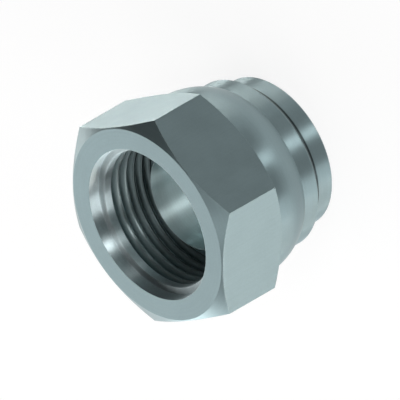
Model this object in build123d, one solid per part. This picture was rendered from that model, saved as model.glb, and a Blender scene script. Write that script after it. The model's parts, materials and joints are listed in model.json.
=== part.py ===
from build123d import *
import os
from math import cos, radians, sin, sqrt, tan

# Threaded socket coupling, turned from hexagon steel bar, in millimetres.
# It stands on its spigot end with the threaded mouth up: +Z runs along the thread axis and out of
# the mouth, the origin is the centre of the spigot's end face, and two hexagon corners lie on X.

# Wrench hexagon at the mouth end
across_flats = 34.0
hexagon_width = 13.5
hexagon_face_margin = 0.2
hexagon_chamfer_angle = 30.0

# Turned down from the hexagon bar, from the barrel to the spigot: each step is how much
# smaller the radius is than the one before it
barrel_step = 0.4
barrel_length = 0.2
shoulder_step = 1.9
shoulder_arc_radius = 20.0
shoulder_arc_slope = 9.0
shoulder_foot_slope = 34.5
collar_length = 4.13
collar_chamfer = 1.2
spigot_step = 1.65
spigot_length = 3.9
spigot_chamfer = 0.3

# Socket for a 3/4 inch parallel pipe thread: this wall is the thread's major diameter
thread_radius = 13.22
thread_wall_length = 9.2
relief_step = 0.28
relief_depth = 15.4

# Hollow sealing nose that stands in the bottom of the socket
bore_radius = 8.53
nose_clearance = 0.1
nose_lip = 0.12
nose_cone_angle = 30.0
nose_wall = 2.67
bore_chamfer = 0.4

# Radii that follow from the sizes above
flat_radius = across_flats / 2
corner_radius = across_flats / sqrt(3)
hexagon_face_radius = flat_radius - hexagon_face_margin
barrel_radius = flat_radius - barrel_step
collar_radius = barrel_radius - shoulder_step
spigot_radius = collar_radius - spigot_step
relief_radius = thread_radius + relief_step
nose_base_radius = bore_radius + nose_wall

# Domed shoulder: a wide arc that bends in from the barrel and a tighter one that runs on from it
# down to the collar, each with the slope that it reaches at its end
arc_slope = radians(shoulder_arc_slope)
foot_slope = radians(shoulder_foot_slope)
arc_length = shoulder_arc_radius * sin(arc_slope)
arc_drop = shoulder_arc_radius * (1 - cos(arc_slope))
foot_arc_radius = (shoulder_step - arc_drop) / (cos(arc_slope) - cos(foot_slope))
foot_length = foot_arc_radius * (sin(foot_slope) - sin(arc_slope))

# Levels along the axis, counted up from the spigot's end face
collar_level = spigot_length
shoulder_low_level = collar_level + collar_length
arc_level = shoulder_low_level + foot_length
barrel_level = arc_level + arc_length
hexagon_level = barrel_level + barrel_length
mouth_level = hexagon_level + hexagon_width
relief_level = mouth_level - thread_wall_length
nose_level = relief_level - nose_clearance
floor_level = mouth_level - relief_depth


def turned(outline):
    """A closed outline of radius and level, turned about the axis."""
    return revolve(Plane.XZ * make_face(outline), Axis.Z)


def hexagon():
    """The hexagon, with its corners turned off by a cone at both ends."""
    prism = extrude(RegularPolygon(flat_radius, 6, major_radius=False), hexagon_width)
    slope = tan(radians(hexagon_chamfer_angle))
    corner_drop = (corner_radius - hexagon_face_radius) * slope
    cones = turned(
        Polyline(
            (0, 0),
            (hexagon_face_radius, 0),
            (corner_radius, corner_drop),
            (corner_radius, hexagon_width - corner_drop),
            (hexagon_face_radius, hexagon_width),
            (0, hexagon_width),
            close=True,
        )
    )
    return Pos(0, 0, hexagon_level) * (prism & cones)


def barrel():
    """The round part: spigot, collar with its chamfered edge, domed shoulder and barrel."""
    below = Polyline(
        (0, hexagon_level),
        (0, 0),
        (spigot_radius - spigot_chamfer, 0),
        (spigot_radius, spigot_chamfer),
        (spigot_radius, collar_level),
        (collar_radius - collar_chamfer, collar_level),
        (collar_radius, collar_level + collar_chamfer),
        (collar_radius, shoulder_low_level),
    )
    arc_end = (barrel_radius - arc_drop, arc_level)
    arc = RadiusArc((barrel_radius, barrel_level), arc_end, shoulder_arc_radius)
    foot = RadiusArc(arc_end, (collar_radius, shoulder_low_level), foot_arc_radius)
    above = Polyline((barrel_radius, barrel_level), (barrel_radius, hexagon_level), (0, hexagon_level))
    return turned(below + foot + arc + above)


def socket():
    """The space inside the mouth: thread wall, relief behind it, and the room round the nose."""
    lip_radius = bore_radius + nose_lip
    cone_length = (nose_base_radius - lip_radius) / tan(radians(nose_cone_angle))
    return turned(
        Polyline(
            (0, mouth_level),
            (thread_radius, mouth_level),
            (thread_radius, relief_level),
            (relief_radius, relief_level),
            (relief_radius, floor_level),
            (nose_base_radius, floor_level),
            (nose_base_radius, nose_level - cone_length),
            (lip_radius, nose_level),
            (0, nose_level),
            close=True,
        )
    )


def bore():
    """The through bore, from the spigot's end face to the tip of the nose."""
    return turned(
        Polyline(
            (0, 0),
            (bore_radius + bore_chamfer, 0),
            (bore_radius, bore_chamfer),
            (bore_radius, nose_level),
            (0, nose_level),
            close=True,
        )
    )


coupling = hexagon() + barrel() - socket() - bore()

os.makedirs("parts", exist_ok=True)
export_step(coupling, "parts/coupling_body.step")
print("overall length", round(mouth_level, 3))
print("thread wall", round(relief_level, 3), "to", round(mouth_level, 3))
print("bore wall", bore_chamfer, "to", round(nose_level, 3))
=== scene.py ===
import json
from math import cos, pi, radians, sin, sqrt

import bmesh
import bpy
from mathutils import Matrix, Vector


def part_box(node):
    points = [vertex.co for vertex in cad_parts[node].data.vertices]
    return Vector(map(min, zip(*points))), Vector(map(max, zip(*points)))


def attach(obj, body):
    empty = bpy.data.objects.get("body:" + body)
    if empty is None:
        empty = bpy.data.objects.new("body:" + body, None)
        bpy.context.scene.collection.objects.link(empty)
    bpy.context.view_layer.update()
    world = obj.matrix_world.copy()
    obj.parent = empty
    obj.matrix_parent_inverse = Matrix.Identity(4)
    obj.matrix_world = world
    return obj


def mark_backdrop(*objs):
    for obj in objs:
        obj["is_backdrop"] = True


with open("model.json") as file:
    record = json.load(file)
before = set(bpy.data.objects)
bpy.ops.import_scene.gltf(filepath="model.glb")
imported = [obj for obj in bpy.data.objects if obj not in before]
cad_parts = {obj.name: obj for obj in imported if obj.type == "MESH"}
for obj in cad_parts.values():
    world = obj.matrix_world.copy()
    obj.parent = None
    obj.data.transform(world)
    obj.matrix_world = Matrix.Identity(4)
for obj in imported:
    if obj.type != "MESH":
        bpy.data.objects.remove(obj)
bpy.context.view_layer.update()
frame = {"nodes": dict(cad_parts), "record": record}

MM = 0.001

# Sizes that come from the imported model, in metres
body = frame["nodes"]["coupling_body"]
mounts = {mount["name"]: mount for mount in frame["record"]["mounts"]}
base_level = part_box("coupling_body")[0].z
mouth_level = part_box("coupling_body")[1].z
flat_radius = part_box("coupling_body")[1].y
major_radius = mounts["thread_socket"]["dims"]["r_mm"] * MM

# The azimuths of the hexagon's three pairs of flats, in degrees
flat_azimuths = (30, 90, 150)

# 3/4 inch parallel pipe thread, right-handed: 14 turns to the inch, flanks at 55 degrees
inch_mm = 25.4
turns_per_inch = 14
pitch = inch_mm / turns_per_inch * MM
thread_height = 0.6403 * pitch
round_radius = 0.1373 * pitch
flank_half_angle = radians(27.5)
thread_start_depth = 1.076 * MM
thread_start_azimuth = radians(243)
thread_turns = 6.88
run_out_turns = 0.2

# The ring that carries the thread: its roots stand just proud of the solid's wall, which hides
# its back
root_proud = 0.015 * MM
root_radius = major_radius - root_proud
crest_radius = root_radius - thread_height
insert_back_radius = 13.46 * MM
steps_per_turn = 180
last_step = round(thread_turns * steps_per_turn)
arc_steps = 6
flank_steps = 8

# The socket's start, by depth from the mouth: a plain wall, a ramp to the level of the crests,
# a land at that level, and the first groove
ramp_depths = (2.12 * MM, 2.3 * MM)
groove_depths = (3.6 * MM, 4.1 * MM)

# Colours, linear: the plating and its worn edges, the socket's plain walls, the nose with the
# bore, and the thread's crests and roots. The walls and the bore are painted light: far paler
# than the plating, to stand in for light that reaches into the socket
plating_color = (0.207, 0.276, 0.289, 1)
worn_color = (0.36, 0.43, 0.43, 1)
inside_painted_light_color = (0.53, 0.62, 0.637, 1)
bore_painted_light_color = (0.80, 0.96, 0.97, 1)
crest_color = (0.30, 0.36, 0.365, 1)
root_color = (0.26, 0.335, 0.345, 1)

# Painted shade: the share of a colour's brightness that is left in the corner behind the collar,
# at the nose's tip, on the ramp and on the deep crests, and the share of their rubbed colour that
# the deep crests keep
recess_shade = 0.2
tip_shade = 0.75
ramp_shade = 0.6
deep_shade = 0.42
deep_wear_shade = 0.15

# Where a finish, a painted light or a painted shade changes, in millimetres: each pair is where
# the change starts and ends. The insets count from the flats and from the mouth's face, the rises
# from the top of the crests outward, the depths from the mouth, and the blur to both sides of the
# ramp's two ends
flat_insets = (0.03, 0.01)
face_insets = (0.02, 0.01)
socket_radii = (13.6, 13.62)
socket_floor_levels = (13.5, 13.6)
bore_radii = (8.95, 8.97)
nose_radii = (12.2, 12.4)
tip_levels = (14.7, 19.7)
recess_low_levels = (3.1, 3.4)
recess_high_levels = (3.9, 5.15)
crest_rises = (0.05, 0.45)
wear_shade_depths = (5.5, 9.5)
deep_depths = (7.0, 8.8)
ramp_blur = 0.1

# How far a face leans, as the share of its normal that runs along the axis: where it becomes a
# flat end, and where a side becomes the shoulder
end_leans = (0.72, 0.8)
shoulder_leans = (0.04, 0.35)

# Roughness, and how far highlights are stretched along the axis, a quarter turn from the tool's
# path: fully on the sides, less on the shoulder and in the thread's roots, and not at all on the
# flat ends
side_roughness = 0.42
face_roughness = 0.36
bore_roughness = 0.52
shoulder_stretch = 0.6
root_stretch = 0.3
quarter_turn = 0.25

# Marks on the steel: the scale of each noise, for places in millimetres, and the values that it
# runs through, a wide span for a soft mark and a close one for a sharper mark
ring_scale = 2.2
line_scale = 2.6
line_stretch = 0.03
patch_scale = 0.22
grain_scale = 3.5
thread_ring_scale = 6.0
fine_detail = 3
plain_detail = 2
wide_span = (0.25, 0.75)
close_span = (0.3, 0.7)

# How strongly the marks show in the brightness and in the roughness, where the lighter patches
# are the smoother ones, and how deep they are
patch_tone = 0.01
mark_tone = 0.03
grain_tone = 0.02
thread_grain_tone = 0.05
thread_ring_tone = 0.04
mark_gloss = 0.02
patch_gloss = -0.01
grain_gloss = 0.02
grain_share = 0.5
mark_relief = 0.004 * MM
thread_ring_relief = 0.003 * MM

# Edges: how far they look rounded, and how fast their wear shows
edge_round = 0.12 * MM
bevel_samples = 4
wear_gain = 6.0

# Camera: the photograph is an isometric view, and this pixel of it is the centre of the mouth
photo_side = 400
pixels_per_mm = 6.25
mouth_pixel = (147.4, 224.6)
camera_right = Vector((0, -1, -1)).normalized()
camera_up = Vector((2, 1, -1)).normalized()
camera_back = Vector((1, -1, 1)).normalized()
camera_distance = 0.4

# Floor: the share of plain white in what the camera and reflections see of it
floor_radius = 1.5
floor_sides = 64
white_share = 0.85
floor_color = (0.97, 0.97, 0.97, 1)

# Softboxes round the part. Each row is a ring of them: the elevations that they fill and how
# wide each is, in degrees, their colour, and the radiance of each by its azimuth in degrees
box_distance = 0.3
white_color = (1, 1, 1)
warm_color = (1.0, 0.92, 0.88)
rings = (
    # Low round the sides; the second ring stays under the mouth's rim and lights the sides alone
    (2, 9, 15, warm_color, {105: 4.3, 210: 19.0, 225: 16.0}),
    (-1.3, 2.7, 15, warm_color,
     {15: 19.5, 30: 31.0, 45: 29.0, 60: 3.6, 75: 49.0, 90: 9.5, 240: 30.0}),
    (3, 26, 15, white_color,
     {0: 1.7, 105: 0.8, 120: 3.0, 135: 3.0, 150: 2.5, 165: 5.0, 180: 3.5, 195: 3.8, 345: 0.3}),
    (6, 28, 28, white_color, {256: 7.2}),
    # Higher, for the mouth's face and the bore
    (28, 50, 28, white_color, {120: 1.75, 150: 1.6, 180: 0.6, 222: 2.4}),
    (55, 78, 40, white_color, {238: 1.8}),
    # Strips on the camera's side: the line of light along the part and in the socket
    (5.4, 7.4, 12, white_color, {313.5: 100.0}),
    (15, 21, 12, white_color, {313.5: 5.0}),
    (42, 70, 22, white_color, {314: 6.0}),
    # Overhead, for the mouth's face as seen from above
    (72, 88, 180, white_color, {115: 1.7}),
)
sky_strength = 0.1


class Nodes:
    """Short calls that add nodes to a tree; a value is a number or another node's output."""

    def __init__(self, tree):
        self.tree = tree

    def add(self, kind, **settings):
        node = self.tree.nodes.new("ShaderNode" + kind)
        for name, value in settings.items():
            setattr(node, name, value)
        return node

    def feed(self, socket, value):
        if isinstance(value, bpy.types.NodeSocket):
            self.tree.links.new(value, socket)
        else:
            socket.default_value = value

    def math(self, operation, *values, clamp=False):
        node = self.add("Math", operation=operation, use_clamp=clamp)
        for socket, value in zip(node.inputs, values):
            self.feed(socket, value)
        return node.outputs[0]

    def plus(self, first, *others):
        for other in others:
            first = self.math("ADD", first, other)
        return first

    def times(self, first, *others):
        for other in others:
            first = self.math("MULTIPLY", first, other)
        return first

    def rest(self, share):
        """What a share leaves of 1."""
        return self.math("SUBTRACT", 1.0, share)

    def dot(self, first, second):
        node = self.add("VectorMath", operation="DOT_PRODUCT")
        self.feed(node.inputs[0], first)
        self.feed(node.inputs[1], second)
        return node.outputs["Value"]

    def split(self, vector):
        node = self.add("SeparateXYZ")
        self.feed(node.inputs[0], vector)
        return node.outputs

    def joined(self, x, y, z=0.0):
        node = self.add("CombineXYZ")
        for socket, value in zip(node.inputs, (x, y, z)):
            self.feed(socket, value)
        return node.outputs[0]

    def noise(self, place, scale, detail):
        node = self.add("TexNoise")
        self.feed(node.inputs["Vector"], place)
        node.inputs["Scale"].default_value = scale
        node.inputs["Detail"].default_value = detail
        return node.outputs["Fac"]

    def fade(self, value, span, start=0.0, end=1.0):
        """From start to end while the value runs through the span."""
        node = self.add("MapRange", interpolation_type="SMOOTHSTEP")
        self.feed(node.inputs["Value"], value)
        node.inputs["From Min"].default_value = span[0]
        node.inputs["From Max"].default_value = span[1]
        node.inputs["To Min"].default_value = start
        node.inputs["To Max"].default_value = end
        return node.outputs["Result"]

    def until(self, value, span):
        """1 before the span and 0 after it."""
        return self.fade(value, span, 1.0, 0.0)

    def between(self, mask, off, on):
        """From one number to another as the mask goes from 0 to 1."""
        return self.fade(mask, (0.0, 1.0), off, on)

    def swing(self, value, span, size, middle=0.0):
        """So much to either side of the middle, while the value runs through the span."""
        return self.fade(value, span, middle - size, middle + size)

    def blend(self, share, first, second, mode="MIX"):
        node = self.add("Mix", data_type="RGBA", blend_type=mode)
        self.feed(node.inputs["Factor"], share)
        self.feed(node.inputs["A"], first)
        self.feed(node.inputs["B"], second)
        return node.outputs["Result"]


def new_material(name):
    """A node material that is empty but for its output, its nodes, and the output's surface."""
    material = bpy.data.materials.new(name)
    material.use_nodes = True
    material.node_tree.nodes.clear()
    nodes = Nodes(material.node_tree)
    return material, nodes, nodes.add("OutputMaterial").inputs["Surface"]


def new_metal(name):
    """A material with one Principled shader, which is returned with it and its nodes."""
    material, nodes, surface = new_material(name)
    shader = nodes.add("BsdfPrincipled")
    shader.inputs["Metallic"].default_value = 1
    nodes.feed(surface, shader.outputs["BSDF"])
    return material, nodes, shader


def places(nodes):
    """A point's place on the part in millimetres: the point itself, its radius and its level."""
    scale = nodes.add("VectorMath", operation="SCALE")
    nodes.feed(scale.inputs[0], nodes.add("TexCoord").outputs["Object"])
    scale.inputs["Scale"].default_value = 1 / MM
    point = scale.outputs[0]
    x, y, level = nodes.split(point)
    radius = nodes.math("SQRT", nodes.plus(nodes.times(x, x), nodes.times(y, y)))
    return point, radius, level


def flats_mask(nodes, point):
    """1 on the six flats of the hexagon and 0 on what is turned."""
    apothem = 0.0
    for azimuth in flat_azimuths:
        normal = (cos(radians(azimuth)), sin(radians(azimuth)), 0)
        across = nodes.math("ABSOLUTE", nodes.dot(point, normal))
        apothem = nodes.math("MAXIMUM", apothem, across)
    return nodes.fade(apothem, [flat_radius / MM - inset for inset in flat_insets])


def inside_mask(nodes, radius, level):
    """1 in the socket and the bore, 0 outside."""
    socket = nodes.times(
        nodes.until(radius, socket_radii),
        nodes.until(level, [mouth_level / MM - inset for inset in face_insets]),
        nodes.fade(level, socket_floor_levels),
    )
    return nodes.math("MAXIMUM", socket, nodes.until(radius, bore_radii))


def tool_marks(nodes, point, radius, level):
    """Marks along the flats of the hexagon, and rings on what is turned."""
    x, y, _ = nodes.split(point)
    stretched = nodes.joined(x, y, nodes.times(level, line_stretch))
    lines = nodes.noise(stretched, line_scale, fine_detail)
    turned_rings = nodes.noise(nodes.joined(radius, level), ring_scale, fine_detail)
    flats = flats_mask(nodes, point)
    return nodes.plus(nodes.times(flats, lines), nodes.times(nodes.rest(flats), turned_rings))


def edge_wear(nodes, rounded):
    """Nearness to an edge, from how far the rounded normal leans from the face's own."""
    own = nodes.add("NewGeometry").outputs["Normal"]
    return nodes.math("MULTIPLY", nodes.rest(nodes.dot(rounded, own)), wear_gain, clamp=True)


def paint(nodes, shader, color, tone):
    """The base colour: a colour made lighter or darker by the tone."""
    grey = nodes.joined(tone, tone, tone)
    nodes.feed(shader.inputs["Base Color"], nodes.blend(1.0, color, grey, "MULTIPLY"))


def stretch_highlights(nodes, shader, stretch):
    """Highlights that are stretched along the axis."""
    nodes.feed(shader.inputs["Anisotropic"], stretch)
    shader.inputs["Anisotropic Rotation"].default_value = quarter_turn
    tangent = nodes.add("Tangent", direction_type="RADIAL", axis="Z")
    nodes.feed(shader.inputs["Tangent"], tangent.outputs["Tangent"])


def bump(nodes, shader, height, relief):
    """Fine relief from a height; the node is returned for a normal to start from."""
    node = nodes.add("Bump")
    node.inputs["Distance"].default_value = relief
    nodes.feed(node.inputs["Height"], height)
    nodes.feed(shader.inputs["Normal"], node.outputs["Normal"])
    return node


def plated_tone(nodes, level, inside, in_bore, patches, marks, grain):
    """The plating's brightness: its marks, and painted shade in the corner behind the collar and at
    the nose's tip.
    """
    tone = nodes.plus(
        nodes.swing(patches, close_span, patch_tone, 1),
        nodes.swing(marks, wide_span, mark_tone),
        nodes.swing(grain, wide_span, grain_tone),
    )
    # Painted shade in the corner behind the collar
    recess = nodes.times(
        nodes.fade(level, recess_low_levels),
        nodes.until(level, recess_high_levels),
        nodes.rest(inside),
    )
    # Painted shade in the bore, darker towards the nose's tip
    near_tip = nodes.times(in_bore, nodes.fade(level, tip_levels))
    return nodes.times(
        tone,
        nodes.between(recess, 1, recess_shade),
        nodes.between(near_tip, 1, tip_shade),
    )


def plated_gloss(nodes, shader, in_bore, patches, marks):
    """The plating's roughness, and how far its highlights are stretched on each kind of face."""
    own_normal = nodes.add("NewGeometry").outputs["True Normal"]
    lean = nodes.math("ABSOLUTE", nodes.split(own_normal)["Z"])
    on_end = nodes.fade(lean, end_leans)
    roughness = nodes.plus(
        nodes.between(on_end, side_roughness, face_roughness),
        nodes.between(in_bore, 0, bore_roughness - side_roughness),
        nodes.swing(marks, wide_span, mark_gloss),
        nodes.swing(patches, close_span, patch_gloss),
    )
    nodes.feed(shader.inputs["Roughness"], roughness)
    on_shoulder = nodes.fade(lean, shoulder_leans, 1, shoulder_stretch)
    stretch_highlights(nodes, shader, nodes.times(nodes.rest(on_end), on_shoulder))


def plated_steel():
    """Satin plated steel, a little bright on its worn edges, with painted light on the socket and
    bore and painted shade behind the collar.
    """
    material, nodes, shader = new_metal("plated_steel")
    point, radius, level = places(nodes)
    inside = inside_mask(nodes, radius, level)
    in_bore = nodes.until(radius, nose_radii)
    marks = tool_marks(nodes, point, radius, level)
    patches = nodes.noise(point, patch_scale, fine_detail)
    grain = nodes.noise(point, grain_scale, plain_detail)

    bevel = nodes.add("Bevel", samples=bevel_samples)
    bevel.inputs["Radius"].default_value = edge_round
    rounded = bevel.outputs["Normal"]
    relief = bump(nodes, shader, nodes.plus(marks, nodes.times(grain, grain_share)), mark_relief)
    nodes.feed(relief.inputs["Normal"], rounded)

    wear = nodes.times(edge_wear(nodes, rounded), nodes.fade(grain, close_span))
    outer = nodes.blend(wear, plating_color, worn_color)
    # Painted light: the socket's walls and the bore take far paler colours than the plating
    inner = nodes.blend(in_bore, inside_painted_light_color, bore_painted_light_color)
    tone = plated_tone(nodes, level, inside, in_bore, patches, marks, grain)
    paint(nodes, shader, nodes.blend(inside, outer, inner), tone)
    plated_gloss(nodes, shader, in_bore, patches, marks)
    return material


def thread_steel():
    """The cut thread: crests rubbed bright near the mouth, with painted shade that darkens them
    deeper in and on the ramp, and painted light on the plain walls.
    """
    material, nodes, shader = new_metal("thread_steel")
    point, radius, level = places(nodes)
    depth = nodes.math("SUBTRACT", mouth_level / MM, level)
    grain = nodes.noise(point, grain_scale, plain_detail)
    turned_rings = nodes.noise(nodes.joined(radius, level), thread_ring_scale, plain_detail)

    crest = nodes.until(radius, [crest_radius / MM + rise for rise in crest_rises])
    plain = nodes.until(depth, [edge / MM for edge in groove_depths])
    # The rubbed crests lose their brightness deeper in and the deep crests darken: painted shade
    rubbed_with_deep_shade = nodes.times(crest, nodes.fade(depth, wear_shade_depths, 1, deep_wear_shade))
    deep_crest_shade = nodes.times(crest, nodes.fade(depth, deep_depths))
    # Painted shade on the ramp
    start, end = [(edge / MM - ramp_blur, edge / MM + ramp_blur) for edge in ramp_depths]
    ramp = nodes.times(nodes.fade(depth, start), nodes.until(depth, end))

    tone = nodes.plus(
        nodes.swing(grain, wide_span, thread_grain_tone, 1),
        nodes.swing(turned_rings, close_span, thread_ring_tone),
    )
    tone = nodes.times(
        tone,
        nodes.between(ramp, 1, ramp_shade),
        nodes.between(deep_crest_shade, 1, deep_shade),
    )
    cut = nodes.blend(rubbed_with_deep_shade, root_color, crest_color)
    # The plain walls take the pale inside colour: painted light
    paint(nodes, shader, nodes.blend(plain, cut, inside_painted_light_color), tone)
    roughness = nodes.swing(grain, wide_span, grain_gloss, side_roughness)
    nodes.feed(shader.inputs["Roughness"], roughness)
    smooth = nodes.math("MAXIMUM", rubbed_with_deep_shade, plain)
    stretch_highlights(nodes, shader, nodes.between(smooth, root_stretch, 1))
    bump(nodes, shader, turned_rings, thread_ring_relief)
    return material


def thread_profile():
    """One pitch of the thread, from root to root: axial distance and height over the root."""
    middle = pitch / 2
    arc_end = round_radius * cos(flank_half_angle)
    flank_foot = round_radius - sqrt(round_radius**2 - arc_end**2)
    points = []
    for step in range(arc_steps + 1):
        across = arc_end * step / arc_steps
        points.append((across, round_radius - sqrt(round_radius**2 - across**2)))
    for step in range(1, flank_steps):
        share = step / flank_steps
        across = arc_end + (middle - 2 * arc_end) * share
        points.append((across, flank_foot + (thread_height - 2 * flank_foot) * share))
    for step in range(arc_steps + 1):
        across = arc_end * (1 - step / arc_steps)
        height = thread_height - round_radius + sqrt(round_radius**2 - across**2)
        points.append((middle - across, height))
    points += [(pitch - across, height) for across, height in reversed(points[:-1])]
    return points


def eased(value, low, high):
    """From 0 to 1, with soft ends, while the value goes from low to high."""
    share = max(0, min(1, (value - low) / (high - low)))
    return share * share * (3 - 2 * share)


def thread_depth(step, from_root):
    """How deep from the mouth a point is that lies so far along the axis from this step's root."""
    start = thread_start_depth - pitch / 2
    return start + pitch * step / steps_per_turn + from_root


def thread_radius(step, from_root, height):
    """The radius of the thread there, with its plain start and the run-out of its last turns."""
    depth = thread_depth(step, from_root)
    groove = (thread_height - height) * eased(depth, *groove_depths)
    run_out = eased(last_step - step, 0, run_out_turns * steps_per_turn)
    return root_radius - (thread_height - groove) * eased(depth, *ramp_depths) * run_out


def thread_points(mesh, profile):
    """The ring's vertices: those of its inside, by step and column, and those of its back."""
    columns = len(profile) - 1
    steps = range(last_step + steps_per_turn + 1)

    def place(step, from_root, radius):
        azimuth = thread_start_azimuth - 2 * pi * step / steps_per_turn
        level = mouth_level - thread_depth(step, from_root)
        return mesh.verts.new((radius * cos(azimuth), radius * sin(azimuth), level))

    inside = {(step, 0): place(step, 0, thread_radius(step, 0, 0)) for step in steps}
    for step in range(last_step + 1):
        for column in range(1, columns):
            from_root, height = profile[column]
            radius = thread_radius(step, from_root, height)
            inside[step, column] = place(step, from_root, radius)
        inside[step, columns] = inside[step + steps_per_turn, 0]
    back = [place(step, 0, insert_back_radius) for step in steps]
    return inside, back


def thread_insert():
    """The thread's turns as one closed ring: a helical inside over a plain back in the wall."""
    mesh = bmesh.new()
    profile = thread_profile()
    columns = len(profile) - 1
    inside, back = thread_points(mesh, profile)

    for step in range(last_step):
        for column in range(columns):
            mesh.faces.new((
                inside[step, column],
                inside[step, column + 1],
                inside[step + 1, column + 1],
                inside[step + 1, column],
            ))
        below = step + steps_per_turn
        mesh.faces.new((back[step], back[step + 1], back[below + 1], back[below]))
    for step in range(steps_per_turn):
        mesh.faces.new((inside[step, 0], inside[step + 1, 0], back[step + 1], back[step]))
        low = last_step + step
        mesh.faces.new((inside[low, 0], back[low], back[low + 1], inside[low + 1, 0]))
    start_cap = [inside[0, column] for column in range(columns + 1)]
    end_cap = [inside[last_step, column] for column in range(columns + 1)]
    caps = [
        mesh.faces.new([back[0], back[steps_per_turn], *reversed(start_cap)]),
        mesh.faces.new([*end_cap, back[last_step + steps_per_turn], back[last_step]]),
    ]
    bmesh.ops.recalc_face_normals(mesh, faces=mesh.faces)
    for face in mesh.faces:
        face.smooth = face not in caps
    return mesh_object("socket_thread", mesh)


def mesh_object(name, mesh):
    """A new object in the scene that holds the bmesh, which is then freed."""
    data = bpy.data.meshes.new(name)
    mesh.to_mesh(data)
    mesh.free()
    thing = bpy.data.objects.new(name, data)
    bpy.context.scene.collection.objects.link(thing)
    return thing


def dress_body(material):
    """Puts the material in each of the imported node's slots."""
    for held in body.material_slots:
        held.material = material


def floor_material():
    """Pale floor: white where the camera or a reflection sees it, with some of its shading."""
    material, nodes, surface = new_material("pale_floor")
    path = nodes.add("LightPath").outputs
    seen = nodes.math("MAXIMUM", path["Is Camera Ray"], path["Is Glossy Ray"])
    seen = nodes.math("MAXIMUM", seen, path["Is Transmission Ray"])
    diffuse = nodes.add("BsdfDiffuse")
    diffuse.inputs["Color"].default_value = floor_color
    glow = nodes.add("Emission")
    glow.inputs["Strength"].default_value = 1
    mix = nodes.add("MixShader")
    nodes.feed(mix.inputs["Fac"], nodes.times(seen, white_share))
    nodes.feed(mix.inputs[1], diffuse.outputs["BSDF"])
    nodes.feed(mix.inputs[2], glow.outputs["Emission"])
    nodes.feed(surface, mix.outputs["Shader"])
    return material


def floor():
    """A wide round floor that the part stands on."""
    mesh = bmesh.new()
    bmesh.ops.create_circle(mesh, cap_ends=True, radius=floor_radius, segments=floor_sides)
    bmesh.ops.translate(mesh, verts=mesh.verts, vec=(0, 0, base_level))
    ground = mesh_object("floor", mesh)
    ground.data.materials.append(floor_material())
    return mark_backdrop(ground)


def softbox(name, azimuth, low, high, wide, radiance, color):
    """A lamp that faces the part: it fills the elevations from low to high."""
    middle = radians((low + high) / 2)
    lamp = bpy.data.lights.new(name, "AREA")
    lamp.shape = "RECTANGLE"
    lamp.size = 2 * box_distance * cos(middle) * sin(radians(wide / 2))
    lamp.size_y = 2 * box_distance * sin(radians((high - low) / 2))
    lamp.energy = radiance * lamp.size * lamp.size_y * pi
    lamp.color = color
    thing = bpy.data.objects.new(name, lamp)
    across = radians(azimuth)
    out = Vector((cos(middle) * cos(across), cos(middle) * sin(across), sin(middle)))
    aim = Vector((0, 0, (base_level + mouth_level) / 2))
    thing.location = aim + out * box_distance
    thing.rotation_euler = out.to_track_quat("Z", "Y").to_euler()
    bpy.context.scene.collection.objects.link(thing)
    thing.visible_camera = False


def softboxes():
    """Every lamp of every ring."""
    for low, high, wide, color, radiances in rings:
        for azimuth, radiance in radiances.items():
            name = "box_%d_%d" % (low, azimuth)
            softbox(name, azimuth, low, high, wide, radiance, color)


def world_light():
    """An even grey sky for the soft fill."""
    world = bpy.data.worlds.new("studio")
    world.use_nodes = True
    background = world.node_tree.nodes["Background"]
    background.inputs["Color"].default_value = (1, 1, 1, 1)
    background.inputs["Strength"].default_value = sky_strength
    bpy.context.scene.world = world


def camera():
    """The isometric camera, shifted so that the mouth's centre falls on its pixel."""
    lens = bpy.data.cameras.new("photo_view")
    lens.type = "ORTHO"
    lens.ortho_scale = photo_side / pixels_per_mm * MM
    thing = bpy.data.objects.new("photo_view", lens)
    across = (mouth_pixel[0] - photo_side / 2) / pixels_per_mm * MM
    down = (mouth_pixel[1] - photo_side / 2) / pixels_per_mm * MM
    centre = Vector((0, 0, mouth_level)) - camera_right * across + camera_up * down
    turn = Matrix((camera_right, camera_up, camera_back)).transposed().to_4x4()
    thing.matrix_world = Matrix.Translation(centre + camera_back * camera_distance) @ turn
    bpy.context.scene.collection.objects.link(thing)
    bpy.context.scene.camera = thing


dress_body(plated_steel())
thread = thread_insert()
thread.data.materials.append(thread_steel())
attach(thread, "root")
floor()
softboxes()
world_light()
camera()
bpy.context.scene.view_settings.view_transform = "Standard"
